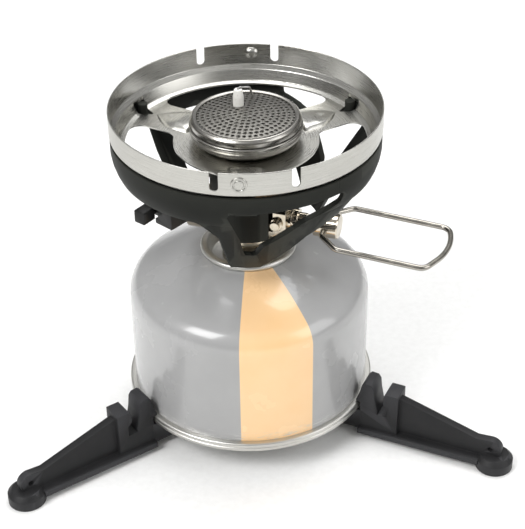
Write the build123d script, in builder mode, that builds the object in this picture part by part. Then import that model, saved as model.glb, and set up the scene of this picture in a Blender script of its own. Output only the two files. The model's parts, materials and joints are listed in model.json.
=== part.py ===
from build123d import *
import os
from math import cos, radians, sin

# Camping stove on its gas canister, in millimetres.
# +Z is up, z = 0 is the ground and the canister's axis is the Z axis.
# Azimuths are in degrees about +Z, from +X.

# Canister: the 90 mm wide, 100 g size with a 7/16 inch threaded valve
canister_r = 43.4
seam_r = 45.5
seam_bottom_z = 11.5
seam_top_z = 14.9
shoulder_z = 52.1
shoulder_r = 9.0
neck_r = 16.4
neck_z = 69.3
can_wall = 0.5
boss_r = 5.5
boss_top_z = 79.0
thread_clearance = 0.08

# Folding stabiliser
leg_azimuths = {"rear": 95.0, "left": -145.0, "right": -25.0}
eyelet_bottoms = {"rear": 2.4, "left": 5.4, "right": 8.4}
eyelet_height = 2.8
rivet_r = 3.0
foot_r = 96.8
foot_pad_r = 6.7
foot_pad_height = 3.6
foot_pad_slope = 1.6
foot_pad_base = 1.5  # the web starts this far up inside the pad
web_width = 3.2
web_end_r = 3.9
claw_width = 8.0
cord_hole_x = 95.4
cord_hole_z = 7.6
cord_hole_r = 1.0

# Cup ring and flame pan
ring_r = 46.6
sheet = 0.5
ring_top_z = 126.7
pan_z = 112.8
spoke_azimuths = (-90.0, 30.0, 150.0)
spoke_width = 17.0
hub_r = 25.0
pan_hole_r = 9.3
opening_r = 41.5
slot_azimuths = (-102.4, -69.9, 77.1, 110.9)
slot_width = 3.0
slot_floor_z = 120.0
dimple_azimuths = (-92.5, 87.5)
dimple_z = 122.8

# Burner head
screen_z = 122.2
throat_r = 4.6
insulator_xy = (-2.5, 6.4)
insulator_r = 1.85
insulator_top_z = 128.9

# Base moulding
band_r = 46.4
band_top_z = 117.2
band_bottom_z = 105.7
support_tip_z = 78.9
support_tip_r = 28.1
sleeve_r = 13.0
sleeve_wall = 1.6
sleeve_top_z = 111.0
sleeve_floor_z = 92.6
support_lead = 20.0  # each support is cut along a line this far round from its foot

# Valve
valve_azimuth = -18.1
valve_z = 83.6
body_r = 9.2
body_bottom_z = 71.6
body_top_z = 92.6
barrel_r = 4.5
barrel_near = 25.0
barrel_far = 33.6
bail_pivot = 29.0
bail_wire_r = 1.0
bail_half_width = 13.3
bail_corner = 68.2
bail_far = 73.6
bail_skew = 1.6
bail_fold = -3.1
bail_roll = 2.2

# Igniter
igniter_azimuth = -128.0
button_xy = (-36.1, -23.2)
button_z = 96.4
button_size = (4.6, 4.8, 5.5)
button_stroke = 2.8
housing_azimuth = -132.0
housing_xy = (-28.2, -21.6)
bracket_azimuth = -140.0
lead_r = 0.8
lead_z = 99.6


def ray(azimuth, radius, z=0.0):
    """Point at a radius and height on the side of the given azimuth."""
    turn = radians(azimuth)
    return Vector(radius * cos(turn), radius * sin(turn), z)


def facing(azimuth, distance=0.0, z=0.0):
    """Upright plane that looks outward along an azimuth, with its local Y up."""
    outward = ray(azimuth, 1.0)
    return Plane(origin=ray(azimuth, distance, z), x_dir=ray(azimuth + 90, 1.0), z_dir=outward)


valve_plane = facing(valve_azimuth, 0.0, valve_z)
regulator_azimuth = valve_azimuth + 180
bail_plane = Plane(
    origin=ray(valve_azimuth, bail_pivot, valve_z), x_dir=ray(valve_azimuth, 1), z_dir=(0, 0, 1)
).rotated((bail_roll, -bail_fold, 0))
button_plane = Plane(
    origin=(button_xy[0], button_xy[1], button_z),
    x_dir=ray(igniter_azimuth + 90, 1),
    z_dir=ray(igniter_azimuth, 1),
)

# ---------------------------------------------------------------- canister


def can_outline(inset, bottom):
    """Closed half section of the can, moved inward by inset."""
    centre_r = canister_r - shoulder_r
    arc_r = shoulder_r - inset
    slope_end = 60.0
    end = (centre_r + arc_r * cos(radians(slope_end)), shoulder_z + arc_r * sin(radians(slope_end)))
    top = (neck_r, neck_z - inset)
    with BuildLine() as outline:
        Line((0, bottom), (canister_r - inset, bottom))
        Line((canister_r - inset, bottom), (canister_r - inset, shoulder_z))
        CenterArc((centre_r, shoulder_z), arc_r, 0, slope_end)
        TangentArc(end, top, tangent=(-sin(radians(slope_end)), cos(radians(slope_end))))
        Line(top, (0, top[1]))
        Line((0, top[1]), (0, bottom))
    return outline.line


with BuildPart() as canister_shell:
    with BuildSketch(Plane.XZ):
        add(can_outline(0.0, seam_top_z))
        make_face()
    revolve(axis=Axis.Z)
    with BuildSketch(Plane.XZ):
        add(can_outline(can_wall, seam_top_z - 1))
        make_face()
    revolve(axis=Axis.Z, mode=Mode.SUBTRACT)
    with BuildSketch(Plane.XY.offset(neck_z - 2)):
        Circle(14.6)
    extrude(amount=6, mode=Mode.SUBTRACT)

with BuildPart() as canister_bottom:
    with BuildSketch(Plane.XZ):
        with Locations((seam_r - 1.3, (seam_bottom_z + seam_top_z) / 2)):
            RectangleRounded(2.6, seam_top_z - seam_bottom_z, 0.7)
    revolve(axis=Axis.Z)
    with BuildSketch(Plane.XZ):
        with BuildLine():
            FilletPolyline((0, 20.5), (30, 18.5), (39.6, 14.0), (43.3, 13.4), radius=3)
            offset(amount=can_wall / 2)
        make_face()
        with Locations((-25, 15)):
            Rectangle(50, 30, mode=Mode.SUBTRACT)
    revolve(axis=Axis.Z)

chamber_r = 3.4
stem_r = 1.6
stem_hole_r = stem_r + 0.05
cage_top_z = 66.0

with BuildPart() as valve_cup:
    with BuildSketch(Plane.XZ):
        with Locations((15.7, neck_z + 1.1)):
            RectangleRounded(3.0, 2.2, 1.0)
        with BuildLine():
            FilletPolyline(
                (14.5, neck_z + 1.1), (13.4, 66.4), (9.0, 65.8), (8.2, 68.6), (4.5, 69.4), radius=0.8
            )
            offset(amount=0.35)
        make_face()
        with Locations((0, 66.0)):
            Rectangle(boss_r, boss_top_z - 66.0, align=(Align.MIN, Align.MIN))
    revolve(axis=Axis.Z)
    with BuildSketch(Plane.XY.offset(cage_top_z - 2)):
        Circle(chamber_r)
    extrude(amount=77.0 - cage_top_z + 2, mode=Mode.SUBTRACT)
    with BuildSketch(Plane.XY.offset(boss_top_z - 3)):
        Circle(stem_hole_r)
    extrude(amount=4, mode=Mode.SUBTRACT)
    with BuildSketch(Plane.XY.offset(boss_top_z - 0.8)):
        Circle(3.0)
    extrude(amount=1, mode=Mode.SUBTRACT)

with BuildPart() as valve_cage:
    with BuildSketch(Plane.XY.offset(58.0)):
        Circle(4.4)
    extrude(amount=8.0)
    with BuildSketch(Plane.XY.offset(58.0)):
        Circle(0.8)
    extrude(amount=8.0, mode=Mode.SUBTRACT)

with BuildPart() as stem_gasket:
    with BuildSketch(Plane.XY.offset(75.0)):
        Circle(chamber_r)
        Circle(stem_hole_r, mode=Mode.SUBTRACT)
    extrude(amount=2.0)

with BuildPart() as canister_stem:
    with BuildSketch(Plane.XZ):
        Polygon(
            (0, 71.0), (1.0, 71.0), (1.0, 73.4), (3.1, 73.4), (3.1, 75.0),
            (stem_r, 75.0), (stem_r, 78.2), (0, 78.2),
            align=None,
        )
    revolve(axis=Axis.Z)


def coil_spring(wire_r, coil_r, turns, height):
    """Path of a compression spring that stands on the XY plane."""
    with BuildPart() as coil:
        with BuildLine() as path:
            Helix(pitch=height / turns, height=height, radius=coil_r)
        with BuildSketch(Plane(origin=path.line @ 0, z_dir=path.line % 0)):
            Circle(wire_r)
        sweep()
    return coil.part


stem_spring_part = Pos(0, 0, cage_top_z + 0.35) * coil_spring(0.3, 2.3, 5, 6.7)
stem_spring_part.label = "stem_spring"

# ------------------------------------------------------------- stabiliser


def stabiliser_leg(name, bearing_gap):
    """One leg, built along +X; bearing_gap is left under the can's seam."""
    layer_z = eyelet_bottoms[name]
    arm_top = seam_bottom_z - bearing_gap
    azimuth = leg_azimuths[name]
    with BuildPart() as leg:
        # eyelet on the hub rivet, and its tongue
        with BuildSketch(Plane.XY.offset(layer_z)):
            Circle(7.0)
            Polygon((4, -1.7), (15, -1.7), (15, 1.7), (4, 1.7), align=None)
            Circle(rivet_r + 0.06, mode=Mode.SUBTRACT)
        extrude(amount=eyelet_height)
        # arm under the can, widening outward
        with BuildSketch(Plane.XY.offset(3.0)):
            Polygon((13, -1.7), (36, -4.2), (46.5, -4.2), (46.5, 4.2), (36, 4.2), (13, 1.7), align=None)
        extrude(amount=arm_top - 3.0)
        # upright web, with a round end over the foot
        with BuildSketch(Plane.XZ.offset(-web_width / 2)):
            Polygon(
                (43, 3), (cord_hole_x, 3), (cord_hole_x, cord_hole_z + web_end_r),
                (90, 11), (60, 19.4), (60, 8), (43, 8),
                align=None,
            )
            with Locations((cord_hole_x, cord_hole_z)):
                Circle(web_end_r)
            with Locations((0, -20)):
                Rectangle(240, 40 + 2 * foot_pad_base, mode=Mode.SUBTRACT)
        extrude(amount=web_width)
        # foot flange
        with BuildSketch(Plane.XY.offset(2.0)):
            Polygon((46, -6), (92, -5.2), (92, 5.2), (46, 6), align=None)
        extrude(amount=2.2)
        # outer post with its wider cap
        with BuildSketch(Plane.XZ.offset(-claw_width / 2)):
            Polygon(
                (56.6, 3), (60.6, 3), (60.6, 21.5), (55.6, 21.5), (54.9, 20), (54.9, 17), (56.6, 15.2),
                align=None,
            )
        extrude(amount=claw_width)
        # floor of the notch between post and claw
        with BuildSketch(Plane.XZ.offset(-claw_width / 2)):
            Polygon((50, 3), (58, 3), (58, 12.2), (56.6, 11.2), (52.8, 11.2), (50, 12.2), align=None)
        extrude(amount=claw_width)
        # claw that hooks over the seam
        with BuildSketch(Plane.XZ.offset(-claw_width / 2)):
            Polygon(
                (46.0, 3), (52.8, 3), (52.8, 12.6), (51.6, 18.6), (51.2, 22.6), (50.2, 24.0), (47.6, 24.2),
                (46.6, 23.2), (46.0, 20.5), (44.6, 16.4), (44.4, 15.3), (46.0, 15.2),
                align=None,
            )
        extrude(amount=claw_width)
        # foot pad, its top edge sloping off
        with BuildSketch():
            with Locations((foot_r, 0)):
                Circle(foot_pad_r)
        extrude(amount=foot_pad_height)
        with BuildSketch(Plane.XY.offset(foot_pad_height)):
            with Locations((foot_r, 0)):
                Circle(foot_pad_r)
        extrude(amount=foot_pad_slope, taper=45)
        # cord hole across the web's end
        with BuildSketch(Plane.XZ.offset(-10)):
            with Locations((cord_hole_x, cord_hole_z)):
                Circle(cord_hole_r)
        extrude(amount=20, mode=Mode.SUBTRACT)
    turned = leg.part.rotate(Axis.Z, azimuth)
    turned.label = f"leg_{name}"
    return turned


legs = [stabiliser_leg("rear", 0.0), stabiliser_leg("left", 0.1), stabiliser_leg("right", 0.1)]

with BuildPart() as hub_rivet:
    with BuildSketch(Plane.XZ):
        Polygon((0, 1.2), (5.5, 1.2), (5.5, 2.2), (rivet_r, 2.2), (rivet_r, 12.0), (0, 12.0), align=None)
    revolve(axis=Axis.Z)

with BuildPart() as hub_washer:
    with BuildSketch(Plane.XY.offset(11.4)):
        Circle(5.5)
        Circle(rivet_r + 0.02, mode=Mode.SUBTRACT)
    extrude(amount=0.6)

# ------------------------------------------------------ cup ring and pan

with BuildPart() as cup_ring:
    with BuildSketch(Plane.XZ):
        with BuildLine():
            FilletPolyline(
                (ring_r - sheet / 2, ring_top_z - sheet / 2),
                (ring_r - sheet / 2, 118.7),
                (44.6, 117.3),
                (43.0, 113.6),
                (41.3, pan_z),
                (pan_hole_r, pan_z),
                radius=0.6,
            )
            offset(amount=sheet / 2)
        make_face()
    revolve(axis=Axis.Z)
    # three openings left between the spokes
    with BuildSketch(Plane.XY.offset(pan_z - 2)) as openings:
        Circle(opening_r)
        Circle(hub_r, mode=Mode.SUBTRACT)
        for azimuth in spoke_azimuths:
            with Locations(Location(ray(azimuth, 33), (0, 0, azimuth))):
                Rectangle(40, spoke_width, mode=Mode.SUBTRACT)
        fillet(openings.vertices(), radius=4)
    extrude(amount=3, mode=Mode.SUBTRACT)
    # small three-cornered holes at the spokes' outer ends
    for azimuth in spoke_azimuths:
        with BuildSketch(Plane(origin=(0, 0, pan_z - 2), x_dir=ray(azimuth, 1), z_dir=(0, 0, 1))) as corner_hole:
            Polygon((37.4, 0), (44.2, -3.6), (44.2, 3.6), align=None)
            fillet(corner_hole.vertices(), radius=0.6)
        extrude(amount=6.4, mode=Mode.SUBTRACT)
    # bayonet slots with rounded floors, open at the ring's top
    for azimuth in slot_azimuths:
        with BuildSketch(facing(azimuth, ring_r - 3)):
            with Locations((0, slot_floor_z + slot_width / 2)):
                Circle(slot_width / 2)
                Rectangle(slot_width, 12, align=(Align.CENTER, Align.MIN))
        extrude(amount=6, mode=Mode.SUBTRACT)
    # pressed stops that stand inward
    for azimuth in dimple_azimuths:
        with BuildSketch(facing(azimuth, ring_r - 1.9, dimple_z)):
            Circle(1.5)
        extrude(amount=1.7, taper=-15)
    # raised gusset on each spoke
    for azimuth in spoke_azimuths:
        with BuildSketch(Plane(origin=(0, 0, pan_z), x_dir=ray(azimuth, 1), z_dir=(0, 0, 1))):
            Polygon((20.5, -5.5), (26, -5.5), (34, 0), (26, 5.5), (20.5, 5.5), align=None)
        extrude(amount=1.5, taper=45)

with BuildPart() as burner_cup:
    with BuildSketch(Plane.XZ):
        with BuildLine():
            FilletPolyline(
                (throat_r - 0.3, 106.5),
                (throat_r - 0.3, pan_z + 0.6),
                (15.2, pan_z + 0.6),
                (18.0, 116.6),
                (19.1, 117.0),
                (19.1, 119.0),
                radius=0.5,
            )
            offset(amount=0.3)
        make_face()
    revolve(axis=Axis.Z)
    with BuildSketch(Plane.XY.offset(pan_z)):
        with Locations(insulator_xy):
            Circle(insulator_r + 0.05)
    extrude(amount=2, mode=Mode.SUBTRACT)

with BuildPart() as burner_rim:
    with BuildSketch(Plane.XZ):
        with BuildLine():
            FilletPolyline((18.4, 119.4), (18.8, 121.4), (17.6, 122.9), (15.6, 122.3), radius=0.7)
            offset(amount=0.3)
        make_face()
    revolve(axis=Axis.Z)

with BuildPart() as burner_screen:
    with BuildSketch(Plane.XY.offset(screen_z - 0.8)) as sieve:
        Circle(15.2)
        for ring in range(1, 7):
            with PolarLocations(ring * 2.3, 6 * ring):
                Circle(0.6, mode=Mode.SUBTRACT)
        with Locations(insulator_xy):
            Circle(insulator_r + 0.25, mode=Mode.SUBTRACT)
    extrude(amount=0.6)

with BuildPart() as burner_rivets:
    for azimuth in (-30, 90, 210):
        with BuildSketch(Plane(origin=ray(azimuth, 11.5, pan_z - 1.05))):
            Circle(1.6)
        extrude(amount=0.8)
        with BuildSketch(Plane(origin=ray(azimuth, 11.5, pan_z + 0.9))):
            Circle(1.6)
        extrude(amount=0.8)

with BuildPart() as mixing_tube:
    with BuildSketch(Plane.XY.offset(94.0)):
        Circle(4.0)
        Circle(3.4, mode=Mode.SUBTRACT)
    extrude(amount=21.0)
    with BuildSketch(Plane.XY.offset(94.0)):
        Circle(5.6)
        Circle(3.6, mode=Mode.SUBTRACT)
    extrude(amount=1.0)
    for azimuth in (45, 135, 225, 315):
        with BuildSketch(facing(azimuth, 0, 98.6)):
            SlotCenterToCenter(3.0, 2.4, rotation=90)
        extrude(amount=8, mode=Mode.SUBTRACT)

with BuildPart() as ceramic_insulator:
    with BuildSketch(Plane.XY.offset(106.0)):
        with Locations(insulator_xy):
            Circle(insulator_r)
    extrude(amount=insulator_top_z - 106.0)
    fillet(ceramic_insulator.edges().sort_by(Axis.Z)[-1], radius=1.0)
    with BuildSketch(Plane.XY.offset(113.9)):
        with Locations(insulator_xy):
            Circle(2.3)
    extrude(amount=1.0)
    with BuildSketch(Plane.XY.offset(insulator_top_z - 3)):
        with Locations(insulator_xy):
            Circle(0.45)
    extrude(amount=4, mode=Mode.SUBTRACT)

with BuildPart() as electrode_wire:
    with BuildLine() as electrode_path:
        FilletPolyline(
            (insulator_xy[0], insulator_xy[1], insulator_top_z - 2.9),
            (insulator_xy[0], insulator_xy[1], insulator_top_z + 0.6),
            (1.4, 8.4, insulator_top_z - 0.4),
            (2.6, 9.0, screen_z + 2.0),
            radius=0.8,
        )
    with BuildSketch(Plane(origin=electrode_path.line @ 0, z_dir=electrode_path.line % 0)):
        Circle(0.38)
    sweep()

# ------------------------------------------------------------ base moulding

support_outline = [
    (-40, 112), (-36, 108.6), (-28, 104.6), (-21.3, 97.2), (-14.6, 78), (-6.4, 78),
    (4.6, 89.4), (8, 93.4), (19.4, 99), (24.0, 105.4), (36, 112),
]
window_outline = [
    (-22, 111.3), (18.4, 112.3), (17.2, 108.4), (5, 104), (-7.0, 92.4), (-8.4, 87), (-12.2, 87.6), (-15.4, 97),
]


rib_z = 110.2
rib_top_z = pan_z - sheet / 2 - 0.05
peg_top_z = 116.2
bracket_z = 105.9
bracket_height = 2.4
bracket_screw_r = 34.0


def support_plane(foot_azimuth, distance=0.0):
    return facing(foot_azimuth + support_lead, distance)


# one support, cut from a thin cone
with BuildPart() as front_support:
    with BuildSketch(Plane.XZ):
        Polygon(
            (support_tip_r - 2.6, support_tip_z), (support_tip_r, support_tip_z), (44.2, band_bottom_z),
            (44.2, 108.4), (43.4, 108.4), (41.6, band_bottom_z),
            align=None,
        )
    revolve(axis=Axis.Z)
    with BuildSketch(support_plane(spoke_azimuths[0], 4)) as outline:
        Polygon(*support_outline, align=None)
        fillet(outline.vertices().filter_by(lambda v: v.Z < 110), radius=1.6)
    extrude(amount=50, mode=Mode.INTERSECT)

with BuildPart() as base_shell:
    for azimuth in spoke_azimuths:
        add(front_support.part.rotate(Axis.Z, azimuth - spoke_azimuths[0]))
    # band round the top, with a lip cleared for the pan's step
    with BuildSketch(Plane.XZ):
        with BuildLine():
            Polyline(
                (42.2, band_bottom_z + 0.4), (44.4, band_bottom_z), (45.3, 107.7), (46.05, 110.2), (band_r, 112.4),
                (band_r, band_top_z), (45.5, band_top_z), (44.2, 114.4), (44.0, 110), (43.0, 107.6), close=True,
            )
        make_face()
    revolve(axis=Axis.Z)
    # one window in each support
    for azimuth in spoke_azimuths:
        with BuildSketch(support_plane(azimuth, 18)) as window:
            Polygon(*window_outline, align=None)
            fillet(window.vertices(), radius=1.3)
        extrude(amount=40, mode=Mode.SUBTRACT)
    # sleeve round the valve body, with its floor
    with BuildSketch(Plane.XY.offset(support_tip_z)):
        Circle(sleeve_r)
        Circle(sleeve_r - sleeve_wall, mode=Mode.SUBTRACT)
    extrude(amount=sleeve_top_z - support_tip_z)
    with BuildSketch(Plane.XY.offset(sleeve_floor_z)):
        Circle(sleeve_r - sleeve_wall / 2)
        Circle(6.0, mode=Mode.SUBTRACT)
    extrude(amount=1.8)
    # ribs that carry the sleeve, under the spokes
    for azimuth in spoke_azimuths:
        with BuildSketch(Plane(origin=(0, 0, rib_z), x_dir=ray(azimuth, 1), z_dir=(0, 0, 1))):
            with Locations((sleeve_r - sleeve_wall / 2, 0)):
                Rectangle(44.8 - sleeve_r + sleeve_wall / 2, 7.0, align=(Align.MIN, Align.CENTER))
        extrude(amount=rib_top_z - rib_z)
        # locating peg through the pan's corner hole
        with BuildSketch(Plane(origin=ray(azimuth, 42.2, rib_z))):
            Circle(1.7)
        extrude(amount=peg_top_z - rib_z)
    # openings of the sleeve for the valve and for the regulator cap
    with BuildSketch(facing(valve_azimuth, 4)):
        with Locations((-0.4, support_tip_z - 2)):
            Rectangle(15.2, 15.0, align=(Align.CENTER, Align.MIN))
    extrude(amount=12, mode=Mode.SUBTRACT)
    with BuildSketch(facing(regulator_azimuth, 4)):
        with Locations((0, support_tip_z - 2)):
            Rectangle(17.2, 15.4, align=(Align.CENTER, Align.MIN))
    extrude(amount=12, mode=Mode.SUBTRACT)
    # igniter bracket under the band, with its screw hole
    with BuildSketch(Plane(origin=(0, 0, bracket_z), x_dir=ray(bracket_azimuth, 1), z_dir=(0, 0, 1))):
        with Locations((36.5, 0)):
            Rectangle(14.4, 9.0)
        with Locations((bracket_screw_r, 0)):
            Circle(1.15, mode=Mode.SUBTRACT)
    extrude(amount=bracket_height)
    # hole for the ignition lead through the sleeve
    with BuildSketch(facing(174.4, 8, lead_z - 0.8)):
        Circle(1.9)
    extrude(amount=8, mode=Mode.SUBTRACT)
    # screw holes in the floor
    with BuildSketch(Plane.XY.offset(sleeve_floor_z)):
        with PolarLocations(7.9, 3, start_angle=42):
            Circle(1.15)
    extrude(amount=2, mode=Mode.SUBTRACT)

with BuildPart() as base_screws:
    with BuildSketch(Plane.XY.offset(sleeve_floor_z - 5)):
        with PolarLocations(7.9, 3, start_angle=42):
            Circle(1.0)
    extrude(amount=7.0)
    with BuildSketch(Plane.XY.offset(sleeve_floor_z + 1.8)):
        with PolarLocations(7.9, 3, start_angle=42):
            Circle(1.9)
    extrude(amount=1.2)

# -------------------------------------------------------------------- valve

collar_bore_r = boss_r + thread_clearance
gasket_top_z = boss_top_z + 1.4
arm_far = 15.6
gland_r = 3.2
needle_r = 2.0
plug_reach = 12.2
chamber_near = 9.4
chamber_far = 13.0

with BuildPart() as valve_body:
    with BuildSketch(Plane.XY.offset(body_bottom_z)):
        Circle(body_r)
    extrude(amount=body_top_z - body_bottom_z)
    chamfer(valve_body.edges().group_by(Axis.Z)[0], length=0.8)
    # arm towards the barrel and boss towards the regulator cap
    with BuildSketch(valve_plane):
        RectangleRounded(11.0, 13.4, 2.0)
    extrude(amount=arm_far)
    with BuildSketch(facing(regulator_azimuth, 0, valve_z)):
        Circle(8.0)
    extrude(amount=chamber_far)
    # threaded collar for the canister, modelled without its thread
    with BuildSketch(Plane.XY.offset(body_bottom_z)):
        Circle(collar_bore_r)
    extrude(amount=gasket_top_z - body_bottom_z, mode=Mode.SUBTRACT)
    # gas way up to the jet, filter seat and jet socket
    with BuildSketch(Plane.XY.offset(gasket_top_z - 1)):
        Circle(2.0)
    extrude(amount=8.6 + 1, mode=Mode.SUBTRACT)
    with BuildSketch(Plane.XY.offset(88.9)):
        Circle(2.4)
    extrude(amount=5, mode=Mode.SUBTRACT)
    # needle bore and gland socket
    with BuildSketch(valve_plane.offset(2.2)):
        Circle(needle_r + 0.05)
    extrude(amount=20, mode=Mode.SUBTRACT)
    with BuildSketch(valve_plane.offset(10.0)):
        Circle(gland_r)
    extrude(amount=10, mode=Mode.SUBTRACT)
    # regulator chamber
    with BuildSketch(facing(regulator_azimuth, chamber_near, valve_z)):
        Circle(6.4)
    extrude(amount=6, mode=Mode.SUBTRACT)
    with BuildSketch(facing(regulator_azimuth, 1.0, valve_z)):
        Circle(1.3)
    extrude(amount=10, mode=Mode.SUBTRACT)
    # socket of the side plug
    with BuildSketch(facing(valve_azimuth - 90, 3.6, valve_z + 0.6)):
        with Locations((plug_reach, 0)):
            Circle(1.6)
    extrude(amount=6, mode=Mode.SUBTRACT)
    # tapped holes for the base screws
    with BuildSketch(Plane.XY.offset(sleeve_floor_z - 5.4)):
        with PolarLocations(7.9, 3, start_angle=42):
            Circle(1.0)
    extrude(amount=6, mode=Mode.SUBTRACT)

with BuildPart() as side_plug:
    with BuildSketch(facing(valve_azimuth - 90, 3.8, valve_z + 0.6)):
        with Locations((plug_reach, 0)):
            Circle(1.55)
    extrude(amount=1.7)
    with BuildSketch(facing(valve_azimuth - 90, 5.5, valve_z + 0.6)):
        with Locations((plug_reach, 0)):
            Circle(2.3)
    extrude(amount=0.9)
    with BuildSketch(facing(valve_azimuth - 90, 6.4, valve_z + 0.6)):
        with Locations((plug_reach, 0)):
            Circle(1.6)
    extrude(amount=1.3)

with BuildPart() as inlet_gasket:
    with BuildSketch(Plane.XY.offset(boss_top_z + 0.02)):
        Circle(5.4)
        Circle(2.5, mode=Mode.SUBTRACT)
    extrude(amount=gasket_top_z - boss_top_z - 0.04)

with BuildPart() as inlet_pin:
    with BuildSketch(Plane.XY.offset(78.35)):
        Circle(1.2)
    extrude(amount=2.2)
    with BuildSketch(Plane.XY.offset(gasket_top_z)):
        Circle(2.0)
    extrude(amount=1.1)
    with BuildSketch(Plane.XY.offset(78.35)):
        Circle(0.5)
    extrude(amount=5, mode=Mode.SUBTRACT)

with BuildPart() as jet_filter:
    with BuildSketch(Plane.XY.offset(87.9)):
        Circle(2.0)
    extrude(amount=1.0)

with BuildPart() as gas_jet:
    with BuildSketch(Plane.XY.offset(88.95)):
        Circle(2.35)
    extrude(amount=body_top_z - 88.95)
    with BuildSketch(Plane.XY.offset(body_top_z)):
        RegularPolygon(3.2, 6)
    extrude(amount=2.2)
    with BuildSketch(Plane.XY.offset(body_top_z + 2.2)):
        Circle(2.2)
    extrude(amount=2.0, taper=25)
    with BuildSketch(Plane.XY.offset(88.95)):
        Circle(1.1)
    extrude(amount=6.0, mode=Mode.SUBTRACT)
    with BuildSketch(Plane.XY.offset(94.0)):
        Circle(0.3)
    extrude(amount=4.0, mode=Mode.SUBTRACT)

with BuildPart() as packing_nut:
    with BuildSketch(valve_plane.offset(11.6)):
        Circle(gland_r - 0.05)
    extrude(amount=arm_far - 11.6)
    with BuildSketch(valve_plane.offset(arm_far)):
        Circle(4.1)
    extrude(amount=1.3)
    with BuildSketch(valve_plane.offset(arm_far + 1.3)):
        Circle(3.4)
    extrude(amount=0.6)
    with BuildSketch(valve_plane.offset(arm_far + 1.9)):
        Circle(4.1)
    extrude(amount=1.4)
    with BuildSketch(valve_plane.offset(arm_far + 3.3)):
        Circle(3.0)
    extrude(amount=3.0)
    with BuildSketch(valve_plane.offset(10.0)):
        Circle(needle_r + 0.05)
    extrude(amount=20.0, mode=Mode.SUBTRACT)

with BuildPart() as gland_ring:
    with BuildSketch(valve_plane.offset(10.1)):
        Circle(gland_r - 0.03)
        Circle(needle_r + 0.05, mode=Mode.SUBTRACT)
    extrude(amount=1.4)

with BuildPart() as needle_spindle:
    with BuildSketch(valve_plane.offset(4.6)):
        Circle(needle_r)
    extrude(amount=25.2)
    tip_origin = valve_plane.offset(4.6).origin
    with BuildSketch(Plane(origin=tip_origin, x_dir=valve_plane.x_dir, z_dir=-valve_plane.z_dir)):
        Circle(needle_r - 0.2)
    extrude(amount=2.0, taper=35)

with BuildPart() as valve_barrel:
    with BuildSketch(valve_plane.offset(barrel_near)):
        Circle(barrel_r)
    extrude(amount=barrel_far - barrel_near)
    chamfer(valve_barrel.edges().group_by(Axis(valve_plane.origin, valve_plane.z_dir))[-1], length=0.4)
    with BuildSketch(valve_plane.offset(barrel_near - 1)):
        Circle(needle_r)
    extrude(amount=5.8, mode=Mode.SUBTRACT)
    # cross hole for the bail's two ends
    for side in (1, -1):
        cross_plane = Plane(bail_plane.origin, x_dir=bail_plane.x_dir, z_dir=bail_plane.y_dir * side)
        with BuildSketch(cross_plane.offset(2.6)):
            Circle(bail_wire_r + 0.06)
        extrude(amount=4, mode=Mode.SUBTRACT)


with BuildPart() as wire_bail:
    with BuildLine(bail_plane) as bail_path:
        reach = bail_corner - bail_pivot
        FilletPolyline(
            (0, 2.8),
            (0, 7.2),
            (35.6 - bail_pivot, bail_half_width),
            (reach + bail_skew, bail_half_width),
            (bail_far - bail_pivot, bail_skew),
            (reach - bail_skew, -bail_half_width),
            (35.6 - bail_pivot, -bail_half_width),
            (0, -7.2),
            (0, -2.8),
            radius=[2.0, 3.5, 4.0, 25.0, 4.0, 3.5, 2.0],
        )
    with BuildSketch(Plane(origin=bail_path.line @ 0, z_dir=bail_path.line % 0)):
        Circle(bail_wire_r)
    sweep()

with BuildPart() as needle_tip:
    with BuildSketch(valve_plane.offset(2.35)):
        Circle(1.2)
    extrude(amount=0.2)

diaphragm_sheet = 0.4
plate_far = chamber_far + diaphragm_sheet + 0.8
cap_end = 19.8

with BuildPart() as regulator_diaphragm:
    with BuildSketch(facing(regulator_azimuth, chamber_far, valve_z)):
        Circle(7.6)
    extrude(amount=diaphragm_sheet)

with BuildPart() as diaphragm_plate:
    with BuildSketch(facing(regulator_azimuth, chamber_far + diaphragm_sheet, valve_z)):
        Circle(5.2)
    extrude(amount=0.8)

with BuildPart() as regulator_poppet:
    with BuildSketch(facing(regulator_azimuth, 4.0, valve_z)):
        Circle(1.2)
    extrude(amount=chamber_far - 4.0)

with BuildPart() as regulator_cap:
    with BuildSketch(facing(regulator_azimuth, chamber_far + diaphragm_sheet, valve_z)):
        Circle(8.0)
    extrude(amount=cap_end + 1.2 - chamber_far - diaphragm_sheet)
    cap_axis = Axis((0, 0, valve_z), tuple(ray(regulator_azimuth, 1)))
    chamfer(regulator_cap.edges().group_by(cap_axis)[-1], length=0.6)
    with BuildSketch(facing(regulator_azimuth, chamber_far, valve_z)):
        Circle(6.2)
    extrude(amount=cap_end - chamber_far, mode=Mode.SUBTRACT)
    with BuildSketch(facing(regulator_azimuth, chamber_far, valve_z)):
        Circle(0.8)
    extrude(amount=12, mode=Mode.SUBTRACT)

spring_room = cap_end - plate_far
regulator_spring_part = facing(regulator_azimuth, plate_far + 0.5, valve_z).location * coil_spring(
    0.5, 4.2, 3.5, spring_room - 1.0
)
regulator_spring_part.label = "regulator_spring"

# ------------------------------------------------------------------ igniter

barrel_front = 8.8
barrel_back = 21.5
module_front = 14.8
module_back = 20.2

with BuildPart() as igniter_button:
    with BuildSketch(button_plane):
        RectangleRounded(button_size[0], button_size[1], 0.6)
    extrude(amount=-button_size[2])
    with BuildSketch(button_plane.offset(-button_size[2])):
        Circle(1.7)
    extrude(amount=-(module_front - button_stroke - 0.2 - button_size[2]))

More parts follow.
